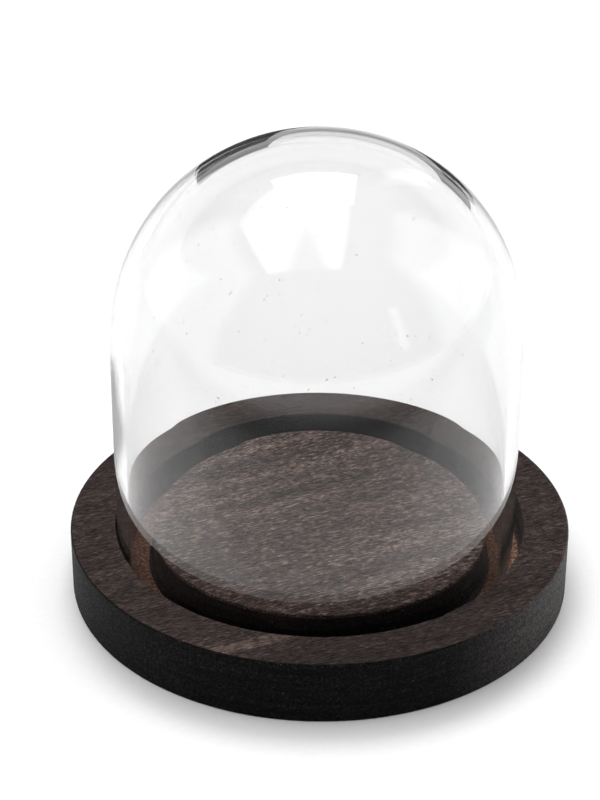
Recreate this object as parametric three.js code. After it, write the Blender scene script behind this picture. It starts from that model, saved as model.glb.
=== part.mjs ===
// A small display bell jar: a clear glass dome that stands in a ring groove cut into a round
// wooden base. Millimetres, +Z up, with the origin at the middle of the base's underside.
import * as THREE from "three";

// Wooden base
const BASE_DIAMETER = 100;
const BASE_THICKNESS = 13;
const BASE_EDGE_RADIUS = 0.3; // sanded arris, top and bottom
const GROOVE_OUTER_DIAMETER = 82;
const PLATEAU_DIAMETER = 66.8; // the round platform inside the groove, level with the outer ring
const GROOVE_DEPTH = 7;
const GROOVE_LIP_RADIUS = 0.2; // sanded arris on both lips of the groove
const GROOVE_ROOT_RADIUS = 0.8; // what the cutter leaves in both corners of the groove's floor

// Glass dome
const GLASS_DIAMETER = 79.8;
const GLASS_WALL = 2.3;
const GLASS_CAP_HEIGHT = 38.7; // a little flatter than a half sphere
const GLASS_TOP_ABOVE_BASE = 81.5;
const GLASS_SIDEWAYS_PLAY = -0.85; // the dome stands off centre, within the groove's play
const RIM_CLEARANCE = 0.3; // between the rim and the groove's floor

// Smoothness of the round surfaces
const ROUND_STEPS = 96;
const CAP_STEPS = 14;
const RIM_STEPS = 6;
const EDGE_STEPS = 3;

const grooveFloorHeight = BASE_THICKNESS - GROOVE_DEPTH;

const wood = new THREE.MeshStandardMaterial({ color: 0x3a2d28, roughness: 0.7, metalness: 0 });
const glass = new THREE.MeshStandardMaterial({
  color: 0xf4f8f8,
  roughness: 0.05,
  metalness: 0,
  transparent: true,
  opacity: 0.25,
});

// Points of an elliptical arc in the profile plane, where x is the radius and y the height.
function arc(x, y, radiusX, radiusY, fromDegrees, toDegrees, steps) {
  const from = THREE.MathUtils.degToRad(fromDegrees);
  const to = THREE.MathUtils.degToRad(toDegrees);
  return new THREE.EllipseCurve(x, y, radiusX, radiusY, from, to, from > to).getPoints(steps);
}

// The quarter circle that rounds off one corner of a profile.
function corner(x, y, radius, fromDegrees, toDegrees) {
  return arc(x, y, radius, radius, fromDegrees, toDegrees, EDGE_STEPS);
}

// Turns a profile about the Z axis. It starts and ends on the axis, with the material on its left.
function turned(name, profile, material) {
  const first = new THREE.Vector2(0, profile[0].y);
  const last = new THREE.Vector2(0, profile[profile.length - 1].y);
  const geometry = new THREE.LatheGeometry([first, ...profile.slice(1, -1), last], ROUND_STEPS);
  geometry.rotateX(Math.PI / 2);
  const mesh = new THREE.Mesh(geometry, material);
  mesh.name = name;
  return mesh;
}

function woodenBase() {
  const outside = BASE_DIAMETER / 2;
  const grooveOuter = GROOVE_OUTER_DIAMETER / 2;
  const plateau = PLATEAU_DIAMETER / 2;
  const top = BASE_THICKNESS;
  const edge = BASE_EDGE_RADIUS;
  const lip = GROOVE_LIP_RADIUS;
  const root = GROOVE_ROOT_RADIUS;
  const rootHeight = grooveFloorHeight + root;
  return turned(
    "wooden_base",
    [
      new THREE.Vector2(0, 0),
      ...corner(outside - edge, edge, edge, -90, 0),
      ...corner(outside - edge, top - edge, edge, 0, 90),
      ...corner(grooveOuter + lip, top - lip, lip, 90, 180),
      ...corner(grooveOuter - root, rootHeight, root, 0, -90),
      ...corner(plateau + root, rootHeight, root, 270, 180),
      ...corner(plateau - lip, top - lip, lip, 0, 90),
      new THREE.Vector2(0, top),
    ],
    wood,
  );
}

// The dome's profile runs down its inside, round the fire-polished rim and up its outside.
function glassDome() {
  const outer = GLASS_DIAMETER / 2;
  const inner = outer - GLASS_WALL;
  const rimRadius = GLASS_WALL / 2;
  const rimHeight = grooveFloorHeight + RIM_CLEARANCE + rimRadius;
  const shoulder = BASE_THICKNESS + GLASS_TOP_ABOVE_BASE - GLASS_CAP_HEIGHT;
  const innerCapHeight = GLASS_CAP_HEIGHT - GLASS_WALL;
  const dome = turned(
    "glass_dome",
    [
      ...arc(0, shoulder, inner, innerCapHeight, 90, 0, CAP_STEPS),
      ...arc(inner + rimRadius, rimHeight, rimRadius, rimRadius, 180, 360, RIM_STEPS),
      ...arc(0, shoulder, outer, GLASS_CAP_HEIGHT, 0, 90, CAP_STEPS),
    ],
    glass,
  );
  dome.position.x = GLASS_SIDEWAYS_PLAY;
  return dome;
}

const bellJar = new THREE.Group();
bellJar.add(woodenBase(), glassDome());

export default bellJar;
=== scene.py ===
"""A small glass bell jar on a dark wooden base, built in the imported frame. Metres, +Z up."""
import math

import bmesh
import bpy
from mathutils import Euler, Matrix, Vector, noise


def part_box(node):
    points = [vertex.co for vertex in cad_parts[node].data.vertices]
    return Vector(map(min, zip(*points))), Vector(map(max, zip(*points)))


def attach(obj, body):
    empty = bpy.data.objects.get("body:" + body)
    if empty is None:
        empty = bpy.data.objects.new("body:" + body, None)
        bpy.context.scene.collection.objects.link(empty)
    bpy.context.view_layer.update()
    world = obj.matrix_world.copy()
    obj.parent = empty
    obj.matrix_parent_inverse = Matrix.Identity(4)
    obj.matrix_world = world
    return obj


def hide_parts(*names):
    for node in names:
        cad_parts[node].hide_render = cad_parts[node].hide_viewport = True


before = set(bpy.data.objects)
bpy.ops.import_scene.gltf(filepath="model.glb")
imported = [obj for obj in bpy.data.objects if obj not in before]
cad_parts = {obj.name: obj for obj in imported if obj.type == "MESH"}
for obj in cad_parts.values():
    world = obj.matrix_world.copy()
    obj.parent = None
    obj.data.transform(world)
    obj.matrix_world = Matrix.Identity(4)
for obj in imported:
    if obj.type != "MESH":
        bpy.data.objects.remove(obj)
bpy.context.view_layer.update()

MM = 0.001

# ---------------------------------------------------------------- sizes, in metres
base_low, base_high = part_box("wooden_base")
glass_low, glass_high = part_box("glass_dome")

BASE_RADIUS = (base_high.x - base_low.x) / 2
BASE_TOP = base_high.z
BASE_EDGE = 0.3 * MM  # sanded arris, top and bottom
GROOVE_OUTER = 41.0 * MM
PLATEAU_RADIUS = 33.4 * MM
GROOVE_DEPTH = 7.0 * MM
GROOVE_LIP = 0.2 * MM
GROOVE_ROOT = 0.8 * MM
GROOVE_FLOOR = BASE_TOP - GROOVE_DEPTH

GLASS_RADIUS = (glass_high.x - glass_low.x) / 2
GLASS_CENTRE_X = (glass_high.x + glass_low.x) / 2
GLASS_WALL = 2.3 * MM
GLASS_TOP = glass_high.z
GLASS_BOTTOM = glass_low.z
GLASS_CAP = 43.2 * MM  # the height over which the wall turns into the rounded top
GLASS_EASE = 2.3  # 2 would be an ellipse; more starts the curve more gently
GLASS_LEAN = 0.65 * MM  # the blown top sits a little to the right
HOLLOW_LEAN = 0.45 * MM  # its hollow sits further forward, so the wall is thinner there

GRAIN_DEGREES = 24  # the grain's direction on the base's top, anticlockwise from +X

CHIP_SIZE = 0.12 * MM  # how far the ragged lips of the groove are chipped
CHIP_REACH = 0.5 * MM
CHIP_DEPTH = 1.2 * MM
FLOOR_GRIT = 0.22 * MM  # how far the groove's torn floor rises and falls
FLOOR_SWELL = 0.12 * MM
SIDE_GRIT = 0.035 * MM
GLASS_WAVE = 0.05 * MM  # how far the blown wall strays from true


# ---------------------------------------------------------------- small helpers
def arc(x, z, radius_x, radius_z, start, end, steps):
    """Points (radius, height) along an elliptical arc, angles in degrees."""
    points = []
    for i in range(steps + 1):
        angle = math.radians(start + (end - start) * i / steps)
        points.append((x + radius_x * math.cos(angle), z + radius_z * math.sin(angle)))
    return points


def straight(start, end, steps):
    """Points between two profile points, without the two ends."""
    (x0, z0), (x1, z1) = start, end
    return [(x0 + (x1 - x0) * i / steps, z0 + (z1 - z0) * i / steps) for i in range(1, steps)]


def smoothstep(low, high, value):
    """0 below low, 1 above high, and a smooth rise between them."""
    t = min(max((value - low) / (high - low), 0), 1)
    return t * t * (3 - 2 * t)


def turned(name, rows, segments, shape):
    """A closed mesh turned about Z from rows of (radius, height, material index).

    The first and last rows are points on the axis. shape(position, row) moves each vertex.
    """
    mesh = bpy.data.meshes.new(name)
    bm = bmesh.new()
    rings = []
    for row in rows:
        radius, height, _ = row
        count = segments if radius > 0 else 1
        ring = []
        for i in range(count):
            angle = 2 * math.pi * i / segments
            point = Vector((radius * math.cos(angle), radius * math.sin(angle), height))
            ring.append(bm.verts.new(shape(point, row)))
        rings.append(ring)
    for (low, high), row in zip(zip(rings, rings[1:]), rows[1:]):
        for i in range(segments):
            j = (i + 1) % segments
            if len(low) == 1:
                corners = (low[0], high[j], high[i])
            elif len(high) == 1:
                corners = (low[i], low[j], high[0])
            else:
                corners = (low[i], low[j], high[j], high[i])
            face = bm.faces.new(corners)
            face.smooth = True
            face.material_index = row[2]
    bmesh.ops.recalc_face_normals(bm, faces=bm.faces)
    bm.to_mesh(mesh)
    bm.free()
    piece = bpy.data.objects.new(name, mesh)
    bpy.context.scene.collection.objects.link(piece)
    return piece


# ---------------------------------------------------------------- node helpers
class Nodes:
    """A short way to write a node tree."""

    def __init__(self, tree):
        self.tree = tree
        tree.nodes.clear()

    def add(self, kind, inputs=None, **settings):
        node = self.tree.nodes.new(kind)
        for key, value in settings.items():
            setattr(node, key, value)
        for key, value in (inputs or {}).items():
            self.put(node.inputs[key], value)
        return node

    def put(self, socket, value):
        if isinstance(value, bpy.types.NodeSocket):
            self.tree.links.new(value, socket)
        else:
            socket.default_value = value

    def math(self, operation, a, b=0.0, c=0.0):
        node = self.add("ShaderNodeMath", {0: a, 1: b, 2: c}, operation=operation)
        return node.outputs[0]

    def remap(self, value, from_low, from_high, to_low=0.0, to_high=1.0):
        """A smooth step from one value to another, held at both ends."""
        inputs = {0: value, 1: from_low, 2: from_high, 3: to_low, 4: to_high}
        node = self.add("ShaderNodeMapRange", inputs, interpolation_type="SMOOTHSTEP")
        return node.outputs[0]

    def noise(self, vector, scale, detail=2.0, roughness=0.5):
        """Noise from 0 to 1, mostly between 0.3 and 0.7."""
        inputs = {"Vector": vector, "Scale": scale, "Detail": detail, "Roughness": roughness}
        return self.add("ShaderNodeTexNoise", inputs).outputs["Fac"]

    def mix(self, factor, a, b, blend="MIX"):
        node = self.add("ShaderNodeMix", data_type="RGBA", blend_type=blend)
        self.put(node.inputs[0], factor)
        self.put(node.inputs[6], a)
        self.put(node.inputs[7], b)
        return node.outputs[2]

    def ramp(self, factor, stops):
        """A colour for each of the (position, colour) stops, blended between them."""
        node = self.add("ShaderNodeValToRGB", {0: factor})
        elements = node.color_ramp.elements
        while len(elements) < len(stops):
            elements.new(0.5)
        for element, (position, colour) in zip(elements, stops):
            element.position = position
            element.color = (*colour, 1)
        return node.outputs[0]

    def bump(self, height, distance, strength=1.0):
        inputs = {"Height": height, "Distance": distance, "Strength": strength}
        return self.add("ShaderNodeBump", inputs).outputs[0]


def new_material(name):
    material = bpy.data.materials.new(name)
    material.use_nodes = True
    return material, Nodes(material.node_tree)


def millimetres(nodes, rotation=0.0, stretch=(1, 1, 1)):
    """Object coordinates in millimetres, turned about Z, then stretched."""
    place = nodes.add("ShaderNodeTexCoord").outputs["Object"]
    turn = nodes.add(
        "ShaderNodeMapping",
        {"Vector": place, "Rotation": (0, 0, rotation), "Scale": (1 / MM, 1 / MM, 1 / MM)},
        vector_type="POINT",
    )
    scale = nodes.add("ShaderNodeMapping", {"Vector": turn.outputs[0], "Scale": stretch})
    return scale.outputs[0]


# ---------------------------------------------------------------- materials
def stained_wood():
    """Dark brown stain over open grain: fine fibres, short dark pores and faint broad bands."""
    material, n = new_material("stained_wood")
    angle = -math.radians(GRAIN_DEGREES)
    along_grain = millimetres(n, angle)
    fibres = n.noise(millimetres(n, angle, (0.45, 2.6, 2.6)), 1.0, 3.0, 0.65)
    threads = n.noise(millimetres(n, angle, (1.1, 4.4, 4.4)), 1.0, 2.0, 0.6)
    bands = n.noise(millimetres(n, angle, (0.02, 0.22, 0.22)), 1.0, 2.0)
    pores = n.noise(millimetres(n, angle, (0.9, 3.2, 3.2)), 1.0, 1.0)
    mottle = n.noise(millimetres(n), 0.9, 3.0, 0.65)

    tone = n.math("MULTIPLY_ADD", fibres, 0.45, n.math("MULTIPLY", threads, 0.35))
    tone = n.math("ADD", tone, n.math("MULTIPLY", mottle, 0.2))
    tone = n.math("ADD", tone, n.math("MULTIPLY", n.math("SUBTRACT", bands, 0.5), 0.18))
    tone = n.math("ADD", tone, n.math("MULTIPLY", pale_streak(n, along_grain), 0.12))
    # painted shade: the front of the base is darkened
    tone = n.math("SUBTRACT", tone, n.math("MULTIPLY", painted_front_shade(n), 0.045))
    on_ring = outside_groove(n)
    contrast = n.math("MULTIPLY_ADD", on_ring, -0.7, 1.7)  # the grain is stronger on the platform
    tone = n.math("MULTIPLY_ADD", n.math("SUBTRACT", tone, 0.5), contrast, 0.5)
    colour = n.ramp(  # from the darkest fibres to the palest
        tone,
        [
            (0.36, (0.012, 0.0070, 0.0060)),
            (0.46, (0.034, 0.0215, 0.0190)),
            (0.53, (0.064, 0.0420, 0.0365)),
            (0.60, (0.122, 0.0840, 0.0715)),
            (0.68, (0.230, 0.1680, 0.1400)),
        ],
    )
    pore_mask = n.remap(pores, 0.58, 0.68)
    pore_colour = (0.009, 0.006, 0.0055, 1)
    colour = n.mix(n.math("MULTIPLY", pore_mask, 0.75), colour, pore_colour)
    # the ring is made darker than the platform
    ring_darkening = (0.002, 0.002, 0.002, 1)
    colour = n.mix(n.math("MULTIPLY", on_ring, 0.42), colour, ring_darkening)

    height = n.math("MULTIPLY_ADD", fibres, 0.6, n.math("MULTIPLY", threads, 0.5))
    height = n.math("SUBTRACT", height, n.math("MULTIPLY", pore_mask, 0.6))
    rough = n.remap(fibres, 0.3, 0.7, 0.80, 0.62)
    shader = n.add(
        "ShaderNodeBsdfPrincipled",
        {
            "Base Color": colour,
            "Roughness": rough,
            "Specular IOR Level": 0.12,
            "Normal": n.bump(height, 0.3 * MM, 1.0),
        },
    )
    n.add("ShaderNodeOutputMaterial", {"Surface": shader.outputs[0]})
    return material


def outside_groove(n):
    """1 on the ring, which is made darker than the platform, and 0 on the platform."""
    x, y, _ = n.add("ShaderNodeSeparateXYZ", {0: millimetres(n)}).outputs
    radius = n.math("POWER", n.math("MULTIPLY_ADD", x, x, n.math("MULTIPLY", y, y)), 0.5)
    return n.remap(radius, 36, 40)


def painted_front_shade(n):
    """Painted shade: the front of the base, from the middle to the right, made darker."""
    x, y, _ = n.add("ShaderNodeSeparateXYZ", {0: millimetres(n)}).outputs
    return n.math("MULTIPLY", n.remap(x, -24, -6), n.remap(y, -23, -37))


def pale_streak(n, along_grain):
    """A paler stripe of grain across the front left of the ring."""
    parts = n.add("ShaderNodeSeparateXYZ", {0: along_grain}).outputs
    across = n.math("ABSOLUTE", n.math("ADD", parts["Y"], 34.5))
    return n.math("MULTIPLY", n.remap(across, 2.4, 0.6), n.remap(parts["X"], -8, -24))


def charred_edge():
    """The near-black cut wall: a fine granular crust, made paler on the right by painted light and
    sheen.
    """
    material, n = new_material("charred_edge")
    grains = n.noise(millimetres(n), 2.0, 4.0, 0.7)
    layers = n.noise(millimetres(n, 0, (0.05, 0.05, 1.2)), 1.0, 2.0)
    flecks = n.noise(millimetres(n), 1.3, 2.0, 0.6)
    tone = n.math("MULTIPLY_ADD", grains, 0.8, n.math("MULTIPLY", layers, 0.2))
    colour = n.ramp(
        tone,
        [
            (0.38, (0.0006, 0.0005, 0.0006)),
            (0.50, (0.0030, 0.0027, 0.0029)),
            (0.60, (0.0100, 0.0092, 0.0094)),
            (0.70, (0.0300, 0.0270, 0.0260)),
        ],
    )
    fleck_mask = n.remap(flecks, 0.74, 0.78)
    fleck_colour = (0.11, 0.095, 0.08, 1)
    colour = n.mix(n.math("MULTIPLY", fleck_mask, 0.8), colour, fleck_colour)
    x = n.add("ShaderNodeSeparateXYZ", {0: millimetres(n)}).outputs["X"]
    # painted light and sheen: the wall is made paler towards the right, where the light falls
    painted_right_light = n.ramp(tone, [(0.40, (0.050, 0.045, 0.044)), (0.62, (0.215, 0.196, 0.191))])
    colour = n.mix(n.remap(x, 22, 50, 0, 0.45), colour, painted_right_light)
    shader = n.add(
        "ShaderNodeBsdfPrincipled",
        {
            "Base Color": colour,
            "Roughness": n.remap(grains, 0.3, 0.7, 0.62, 0.45),
            "Specular IOR Level": 0.05,
            "Normal": n.bump(tone, 0.3 * MM, 0.8),
        },
    )
    n.add("ShaderNodeOutputMaterial", {"Surface": shader.outputs[0]})
    return material


def raw_groove():
    """The groove's floor: unstained torn wood, reddish tan and granular, with painted shade
    darkening all but the far right, which stays paler as if lit.
    """
    material, n = new_material("raw_groove")
    grains = n.noise(millimetres(n), 1.5, 4.0, 0.7)
    patches = n.noise(millimetres(n), 0.12, 2.0)
    x = n.add("ShaderNodeSeparateXYZ", {0: millimetres(n)}).outputs["X"]
    colour = n.ramp(
        grains,
        [
            (0.36, (0.030, 0.014, 0.009)),
            (0.50, (0.150, 0.078, 0.052)),
            (0.64, (0.420, 0.260, 0.175)),
        ],
    )
    red_patches = (0.08, 0.034, 0.024, 1)
    colour = n.mix(n.remap(patches, 0.35, 0.65, 0.0, 0.3), colour, red_patches)
    # painted shade: all but the far right of the floor is made darker and redder
    painted_groove_shade = (0.045, 0.016, 0.011, 1)
    colour = n.mix(n.remap(x, 36, 39, 0.55, 0.0), colour, painted_groove_shade)
    shader = n.add(
        "ShaderNodeBsdfPrincipled",
        {
            "Base Color": colour,
            "Roughness": n.remap(grains, 0.3, 0.7, 0.95, 0.8),
            "Specular IOR Level": 0.2,
            "Normal": n.bump(grains, 0.4 * MM, 0.9),
        },
    )
    n.add("ShaderNodeOutputMaterial", {"Surface": shader.outputs[0]})
    return material


def clear_glass():
    """Clear blown glass, with faint smears and a few specks of dust."""
    material, n = new_material("clear_glass")
    smears = n.noise(millimetres(n, 0.3, (0.05, 0.05, 0.12)), 1.0, 3.0, 0.6)
    specks = n.noise(millimetres(n), 1.6, 0.0)
    speck_mask = n.remap(specks, 0.845, 0.870)
    clear, dust = (0.915, 0.918, 0.916, 1), (0.40, 0.39, 0.38, 1)
    shader = n.add(
        "ShaderNodeBsdfPrincipled",
        {
            "Base Color": n.mix(speck_mask, clear, dust),
            "Roughness": n.remap(smears, 0.66, 0.8, 0.0, 0.015),
            "IOR": 1.47,
            "Transmission Weight": 1.0,
        },
    )
    n.add("ShaderNodeOutputMaterial", {"Surface": shader.outputs[0]})
    return material


# ---------------------------------------------------------------- the wooden base
STAINED, CHARRED, RAW = 0, 1, 2
BASE_SEGMENTS = 720
UNDERSIDE_RINGS_MM = (4, 10, 18, 26, 33, 39, 44, 47.5)
PLATEAU_RINGS_MM = (32.6, 31.8, 30.5, 28, 24, 19, 13, 7, 3)


def tagged(points, tag):
    """Rows for turned(), all with one material index."""
    return [(x, z, tag) for x, z in points]


def base_rows():
    """The base's profile, from the middle of the underside out, up, and back in along the top."""
    edge, lip, root = BASE_EDGE, GROOVE_LIP, GROOVE_ROOT
    under = [(0.0, 0.0)] + [(r * MM, 0.0) for r in UNDERSIDE_RINGS_MM]
    bottom_edge = arc(BASE_RADIUS - edge, edge, edge, edge, -90, 0, 4)
    top_edge = arc(BASE_RADIUS - edge, BASE_TOP - edge, edge, edge, 0, 90, 5)
    ring_lip = arc(GROOVE_OUTER + lip, BASE_TOP - lip, lip, lip, 90, 180, 4)
    outer_root = arc(GROOVE_OUTER - root, GROOVE_FLOOR + root, root, root, 0, -90, 4)
    inner_root = arc(PLATEAU_RADIUS + root, GROOVE_FLOOR + root, root, root, 270, 180, 4)
    plateau_lip = arc(PLATEAU_RADIUS - lip, BASE_TOP - lip, lip, lip, 0, 90, 4)
    plateau = [(r * MM, BASE_TOP) for r in PLATEAU_RINGS_MM]
    return [
        *tagged(under, STAINED),
        *tagged(bottom_edge, CHARRED),
        *tagged(straight(bottom_edge[-1], top_edge[0], 26), CHARRED),
        *tagged(top_edge, CHARRED),
        *tagged(straight(top_edge[-1], ring_lip[0], 20), STAINED),
        *tagged(ring_lip, STAINED),
        *tagged(straight(ring_lip[-1], outer_root[0], 12), CHARRED),
        *tagged(outer_root, CHARRED),
        *tagged(straight(outer_root[-1], inner_root[0], 18), RAW),
        *tagged(inner_root, CHARRED),
        *tagged(straight(inner_root[-1], plateau_lip[0], 12), CHARRED),
        *tagged(plateau_lip, STAINED),
        *tagged(plateau, STAINED),
        (0.0, BASE_TOP, STAINED),
    ]


def base_shape(point, row):
    """Rough floor of the groove, a grainy outer wall, and lips that are slightly ragged."""
    radius, height, material_index = row
    if radius == 0:
        return point
    out = Vector((point.x, point.y, 0)).normalized()
    fine = noise.noise(point / MM * 1.6)
    coarse = noise.noise(point / MM * 0.45)
    if material_index == RAW:
        point = point + Vector((0, 0, FLOOR_GRIT * fine + FLOOR_SWELL * coarse))
    elif radius > BASE_RADIUS - BASE_EDGE and height > 0:
        point = point - out * (SIDE_GRIT * (1 + fine))
    near_lip = max(
        1 - abs(radius - GROOVE_OUTER) / CHIP_REACH,
        1 - abs(radius - PLATEAU_RADIUS) / CHIP_REACH,
    )
    if near_lip > 0 and height > BASE_TOP - CHIP_DEPTH:
        chip = smoothstep(0.25, 0.6, noise.noise(point / MM * 0.8 + Vector((7, 3, 0))))
        side = -1 if radius < (GROOVE_OUTER + PLATEAU_RADIUS) / 2 else 1
        point = point + out * (side * CHIP_SIZE * chip * near_lip)
        point.z -= CHIP_SIZE * chip * near_lip
    return point


def make_base():
    piece = turned("wooden_base_milled", base_rows(), BASE_SEGMENTS, base_shape)
    for material in (stained_wood(), charred_edge(), raw_groove()):
        piece.data.materials.append(material)
    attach(piece, "base")
    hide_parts("wooden_base")
    return piece


# ---------------------------------------------------------------- the glass dome
GLASS_SEGMENTS = 288
GLASS_CAP_STEPS = 72
GLASS_WALL_STEPS = 34
GLASS_RIM_STEPS = 14


def rounded_top(radius, height, start, steps):
    """Points from the wall to the top of a curve whose bend grows gradually from nothing."""
    points = []
    for i in range(steps + 1):
        share = math.sin(math.radians(90 * i / steps))
        reach = math.sqrt(max(1 - share**GLASS_EASE, 0))
        points.append((radius * reach, start + height * share))
    return points


def glass_rows():
    """The dome's profile: down the inside, round the fire-polished rim, up the outside."""
    outer, inner = GLASS_RADIUS, GLASS_RADIUS - GLASS_WALL
    shoulder = GLASS_TOP - GLASS_CAP
    rim = GLASS_WALL / 2
    inner_cap = rounded_top(inner, GLASS_CAP - GLASS_WALL, shoulder, GLASS_CAP_STEPS)[::-1]
    outer_cap = rounded_top(outer, GLASS_CAP, shoulder, GLASS_CAP_STEPS)
    lip = arc(inner + rim, GLASS_BOTTOM + rim, rim, rim, 180, 360, GLASS_RIM_STEPS)
    points = [
        (0.0, inner_cap[0][1]),
        *inner_cap[1:],
        *straight(inner_cap[-1], lip[0], GLASS_WALL_STEPS),
        *lip,
        *straight(lip[-1], outer_cap[0], GLASS_WALL_STEPS),
        *outer_cap[:-1],
        (0.0, GLASS_TOP),
    ]
    return tagged(points, 0)


def outer_radius(height):
    """The radius of the dome's outside at a height."""
    share = max((height - GLASS_TOP + GLASS_CAP) / GLASS_CAP, 0)
    return GLASS_RADIUS * math.sqrt(max(1 - share**GLASS_EASE, 0))


def glass_shape(point, row):
    """The uneven bubble and slight waviness of blown glass, never outside the nominal size."""
    shoulder = GLASS_TOP - GLASS_CAP
    centre = Vector((0, 0, min(row[1], shoulder)))
    outward = (point - centre).normalized()
    wave = noise.noise(point / MM * 0.045)
    fade = smoothstep(GLASS_BOTTOM, GLASS_BOTTOM + 3 * MM, row[1])
    rise = smoothstep(shoulder, GLASS_TOP, row[1])
    inside = row[0] < outer_radius(row[1]) - GLASS_WALL / 2
    shift = Vector((GLASS_CENTRE_X + GLASS_LEAN * rise, -HOLLOW_LEAN * rise * inside, 0))
    return point - outward * (GLASS_WAVE * (1 + wave) * fade) + shift


def make_glass():
    piece = turned("blown_glass_dome", glass_rows(), GLASS_SEGMENTS, glass_shape)
    piece.data.materials.append(clear_glass())
    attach(piece, "dome")
    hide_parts("glass_dome")
    piece.visible_shadow = False  # light reaches what stands under the dome
    piece.visible_diffuse = False
    return piece


# ---------------------------------------------------------------- studio
TENT_STRENGTH = 0.812
def paper_floor():
    """A wide sheet of white paper, just under the base."""
    material, n = new_material("white_paper")
    tooth = n.noise(millimetres(n), 0.8, 2.0)
    shader = n.add(
        "ShaderNodeBsdfPrincipled",
        {
            "Base Color": n.ramp(tooth, [(0.3, (0.88, 0.88, 0.885)), (0.7, (0.9, 0.9, 0.9))]),
            "Roughness": 0.9,
            "Specular IOR Level": 0.1,
        },
    )
    n.add("ShaderNodeOutputMaterial", {"Surface": shader.outputs[0]})
    mesh = bpy.data.meshes.new("floor")
    bm = bmesh.new()
    bmesh.ops.create_circle(bm, cap_ends=True, radius=6.0, segments=96)
    bm.to_mesh(mesh)
    bm.free()
    floor = bpy.data.objects.new("floor", mesh)
    floor.location.z = -0.02 * MM
    mesh.materials.append(material)
    bpy.context.scene.collection.objects.link(floor)


def soft_panel(n, u, u_span, v, v_span, soft):
    """1 for directions inside a rectangle of u and v, fading to 0 over soft at its edges."""
    mask = 1.0
    for value, (low, high) in ((u, u_span), (v, v_span)):
        mask = n.math("MULTIPLY", mask, n.remap(value, low - soft, low + soft))
        mask = n.math("MULTIPLY", mask, n.remap(value, high + soft, high - soft))
    return mask


def roof_panel(n, across, along):
    """The bright roof: a square with two corners cut off and a beam that shades a wedge of it.

    across and along are where a direction meets a ceiling one unit up.
    """
    mask = soft_panel(n, across, (-0.78, 0.21), along, (-0.48, 0.78), 0.04)
    for slope, low, high in ((0.2, -0.70, -0.62), (-1.18, -1.13, -1.00)):
        side = n.math("MULTIPLY_ADD", along, slope, across)
        mask = n.math("MULTIPLY", mask, n.remap(side, low, high))
    wedge = n.math("ABSOLUTE", n.math("ADD", across, 0.12))
    wedge = n.math("MULTIPLY_ADD", along, 0.38, wedge)
    return n.math("MULTIPLY", mask, n.remap(wedge, -0.06, 0.10, 0.25, 1.0))


def light_tent():
    """A white light tent: bright panels above, left and right, dim in front."""
    world = bpy.data.worlds.new("light_tent")
    world.use_nodes = True
    n = Nodes(world.node_tree)
    way = n.add("ShaderNodeTexCoord").outputs["Generated"]
    x, y, z = n.add("ShaderNodeSeparateXYZ", {0: way}).outputs
    azimuth = n.math("DEGREES", n.math("ARCTAN2", x, n.math("MULTIPLY", y, -1)))
    aside = n.math("ABSOLUTE", azimuth)
    elevation = n.math("DEGREES", n.math("ARCSINE", z))
    height = n.math("MAXIMUM", z, 0.05)
    across, along = n.math("DIVIDE", x, height), n.math("DIVIDE", y, height)

    dim_front = n.remap(elevation, -5, 45, 0.04, 0.34)
    bright_back = n.remap(elevation, 30, 8, 0.50, 1.35)
    cloth = n.remap(aside, 55, 130, dim_front, bright_back)
    cloth = n.math("ADD", cloth, n.remap(elevation, 30, 80, 0, 0.15))
    panels = [  # azimuths, elevations, softness in degrees, brightness; 0 is in front
        (azimuth, (-120, -58), elevation, (-20, 50), 5, 1.0),
        (azimuth, (73, 125), elevation, (-20, 54), 6, 1.2),
        (aside, (135, 190), elevation, (20, 60), 6, 0.35),
        (azimuth, (150, 156), elevation, (16, 40), 1.5, 1.0),
        (azimuth, (47, 52), elevation, (8, 31), 1.5, 1.2),
    ]
    total = n.math("MULTIPLY_ADD", roof_panel(n, across, along), 2.5, cloth)
    for u, u_span, v, v_span, soft, strength in panels:
        mask = soft_panel(n, u, u_span, v, v_span, soft)
        total = n.math("MULTIPLY_ADD", mask, strength, total)
    strength = n.math("MULTIPLY", total, TENT_STRENGTH)
    light = n.add("ShaderNodeBackground", {"Color": (1, 1, 1, 1), "Strength": strength})
    n.add("ShaderNodeOutputWorld", {"Surface": light.outputs[0]})
    bpy.context.scene.world = world


def flat_sheet(name, corners, material):
    """A flat sheet that only the object's reflections and refractions can show."""
    mesh = bpy.data.meshes.new(name)
    mesh.from_pydata(corners, [], [range(len(corners))])
    mesh.materials.append(material)
    sheet = bpy.data.objects.new(name, mesh)
    sheet.visible_camera = False
    sheet.visible_diffuse = False
    sheet.visible_shadow = False
    bpy.context.scene.collection.objects.link(sheet)


def reflected_sheet(name, shade, cover=lambda n: 1.0):
    """Matt material that only reflections show: what looks through the glass sees past it."""
    material, n = new_material(name)
    sheet = n.add("ShaderNodeBsdfDiffuse", {"Color": shade(n)}).outputs[0]
    bounces = n.add("ShaderNodeLightPath").outputs["Glossy Depth"]
    shown = n.math("MULTIPLY", n.math("GREATER_THAN", bounces, 0.5), cover(n))
    mixed = n.add("ShaderNodeMixShader", {0: shown})
    n.put(mixed.inputs[1], n.add("ShaderNodeBsdfTransparent").outputs[0])
    n.put(mixed.inputs[2], sheet)
    n.add("ShaderNodeOutputMaterial", {"Surface": mixed.outputs[0]})
    return material


def dimming(n):
    """Pale near the base, grey where the viewer shades it, and white again further out."""
    place = n.add("ShaderNodeTexCoord").outputs["Object"]
    y = n.add("ShaderNodeSeparateXYZ", {0: place}).outputs["Y"]
    shade = n.remap(y, -0.150, -0.065, 0.25, 0.70)
    shade = n.math("ADD", shade, n.remap(y, -0.13, -0.35, 0, 0.72))
    return n.add("ShaderNodeCombineXYZ", {0: shade, 1: shade, 2: shade}).outputs[0]


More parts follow.
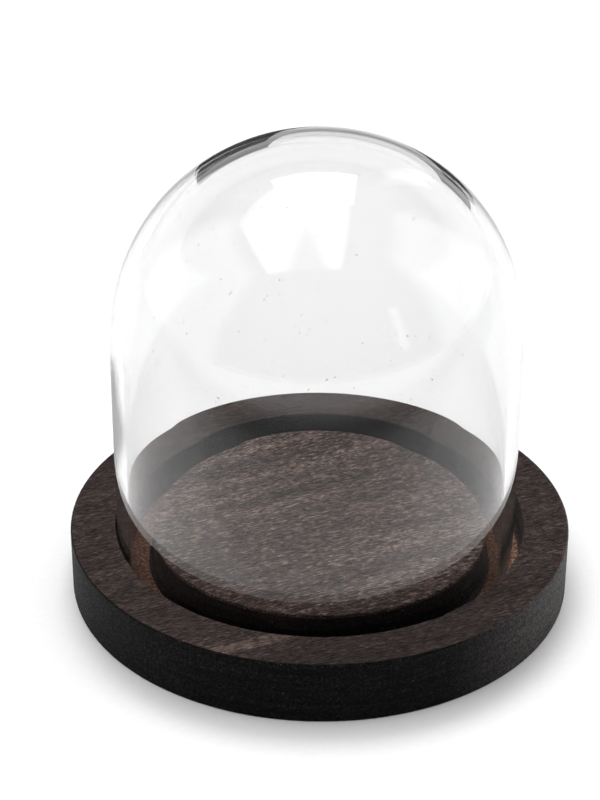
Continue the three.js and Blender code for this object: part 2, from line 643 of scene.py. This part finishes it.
def shaded_patch(n):
    """The part of the floor, just behind the base on the left, that lies in shade."""
    place = n.add("ShaderNodeTexCoord").outputs["Object"]
    x, y, _ = n.add("ShaderNodeSeparateXYZ", {0: place}).outputs
    return soft_panel(n, x, (-0.082, -0.030), y, (0.036, 0.082), 0.007)


def surroundings():
    """What the dome mirrors besides the paper: painted shade on the floor in front, a shaded patch
    and two grey boards.
    """
    front, far, side, low = -0.065, -1.2, 1.2, 0.0005
    corners = [(-side, far, low), (side, far, low), (side, front, low), (-side, front, low)]
    # a sheet of painted shade on the floor in front, seen only in reflections
    flat_sheet("front_floor_shade_sheet", corners, reflected_sheet("painted_floor_shade", dimming))
    near_left = [(-0.1, 0.02, low), (0.0, 0.02, low), (0.0, 0.11, low), (-0.1, 0.11, low)]
    shaded = reflected_sheet("shaded_floor", lambda n: (0.40, 0.40, 0.41, 1), shaded_patch)
    flat_sheet("shaded_floor", near_left, shaded)
    grey = reflected_sheet("grey_board", lambda n: (0.16, 0.16, 0.165, 1))
    left = [(-0.09, 0.0), (0.0, 0.0), (-0.03, 0.04), (-0.07, 0.14), (-0.20, 0.14), (-0.175, 0.105)]
    right = [(0.05, 0.0), (0.115, 0.0), (0.155, 0.016), (0.225, 0.067), (0.165, 0.1), (0.11, 0.05)]
    behind = 0.37
    for name, outline in (("left_board", left), ("right_board", right)):
        flat_sheet(name, [(x, behind, z) for x, z in outline], grey)


def key_light():
    """A soft box high behind, which the glass doesn't mirror."""
    light = bpy.data.lights.new("key", "AREA")
    light.shape = "RECTANGLE"
    light.size, light.size_y = 0.6, 0.5
    light.energy = 4.8
    lamp = bpy.data.objects.new("key", light)
    lamp.location = (-0.04, 0.60, 1.04)
    lamp.rotation_euler = (-lamp.location).to_track_quat("-Z", "Y").to_euler()
    lamp.visible_camera = False
    lamp.visible_glossy = False
    bpy.context.scene.collection.objects.link(lamp)


def camera():
    """The photograph's viewpoint: 47 cm away and 33 degrees up, aimed a little above the base."""
    distance = 9.335 * BASE_RADIUS
    elevation = math.radians(32.86)
    turn_left, tilt_up, roll = math.radians(0.508), math.radians(2.888), math.radians(0.504)
    data = bpy.data.cameras.new("camera")
    data.lens = 104.1
    data.sensor_width = 36
    data.clip_start, data.clip_end = 0.01, 50
    cam = bpy.data.objects.new("camera", data)
    aim = Matrix.Rotation(turn_left, 3, "Y") @ Matrix.Rotation(tilt_up, 3, "X")
    aim = aim @ Matrix.Rotation(roll, 3, "Z")
    turn = Euler((math.pi / 2 - elevation, 0, 0)).to_matrix() @ aim
    place = Vector((0, -math.cos(elevation), math.sin(elevation))) * distance
    cam.matrix_world = Matrix.Translation(place + Vector((0, 0, BASE_TOP))) @ turn.to_4x4()
    bpy.context.scene.collection.objects.link(cam)
    bpy.context.scene.camera = cam


camera()
light_tent()
key_light()
paper_floor()
surroundings()
make_base()
make_glass()

scene = bpy.context.scene
scene.view_settings.view_transform = "Standard"
scene.cycles.max_bounces = 16
scene.cycles.transmission_bounces = 16
